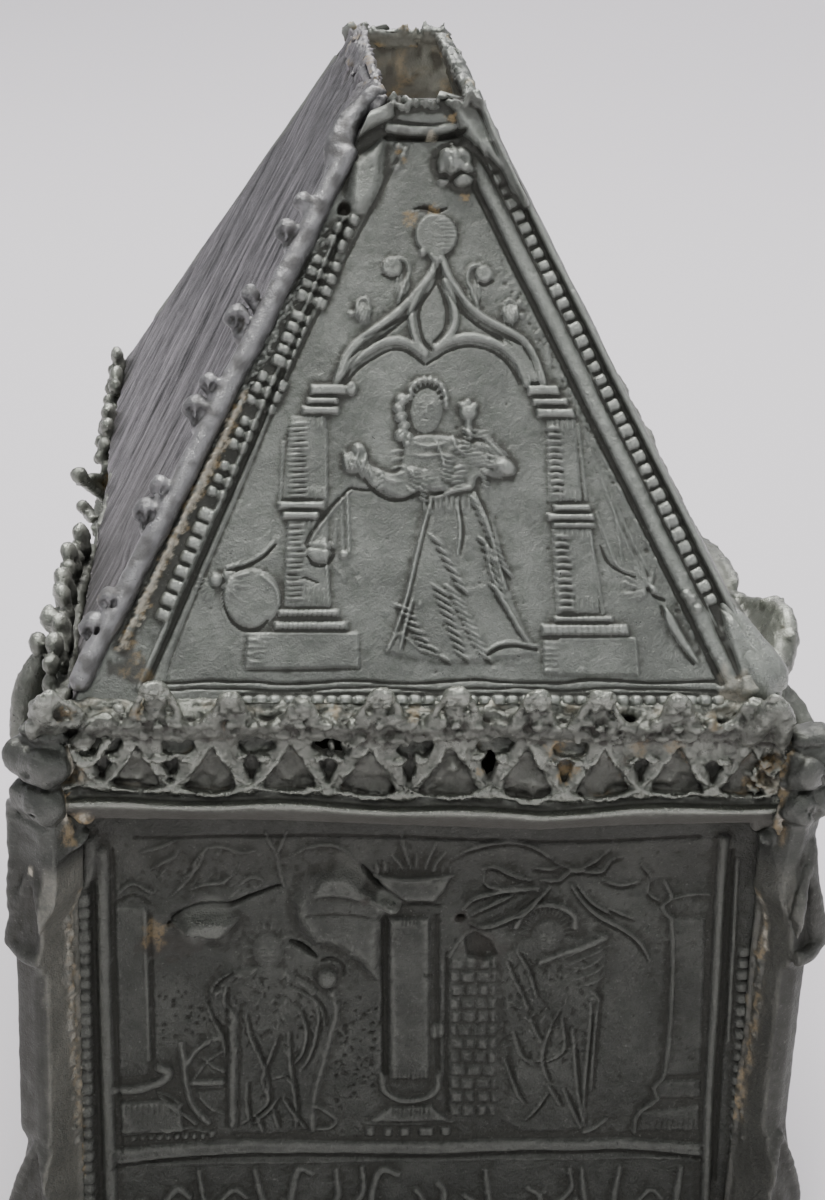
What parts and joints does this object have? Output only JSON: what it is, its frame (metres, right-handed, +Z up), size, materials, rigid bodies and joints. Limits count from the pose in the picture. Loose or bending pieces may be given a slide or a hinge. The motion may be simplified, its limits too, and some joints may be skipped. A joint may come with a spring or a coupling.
{
  "type": "chrismatory",
  "caption": "House-shaped cast pewter box with a steep hipped lift-off lid, openwork cresting, corner buttresses and figures under arches; the ridge of the lid is broken open.",
  "frame": {"origin": "middle of the underside of the box", "axes": "+Z up; the decorated short end faces -Y; +Y along the length of the box; +X to the right of that end"},
  "size_m": [0.0924, 0.1396, 0.1384],
  "materials": {
    "pewter_roof": "dull grey-green pewter, scratched, rubbed bright on high spots",
    "pewter_cresting": "dark rough-cast pewter with bright lumps and brown dirt",
    "pewter_walls": "dark dull pewter with worn relief",
    "pewter_buttress": "smooth dull pewter"
  },
  "bodies": {
    "root": {"floor_plate": "pewter_walls", "end_wall_front": "pewter_walls", "end_wall_back": "pewter_walls", "side_wall_left": "pewter_walls", "side_wall_right": "pewter_walls", "corner_buttress_front_left": "pewter_buttress", "corner_buttress_front_right": "pewter_buttress", "corner_buttress_back_left": "pewter_buttress", "corner_buttress_back_right": "pewter_buttress", "cresting_front": "pewter_cresting", "cresting_back": "pewter_cresting", "cresting_left": "pewter_cresting", "cresting_right": "pewter_cresting", "roof_panel_front": "pewter_roof", "roof_panel_back": "pewter_roof", "roof_panel_left": "pewter_roof", "roof_panel_right": "pewter_roof"}
  },
  "joints": []
}
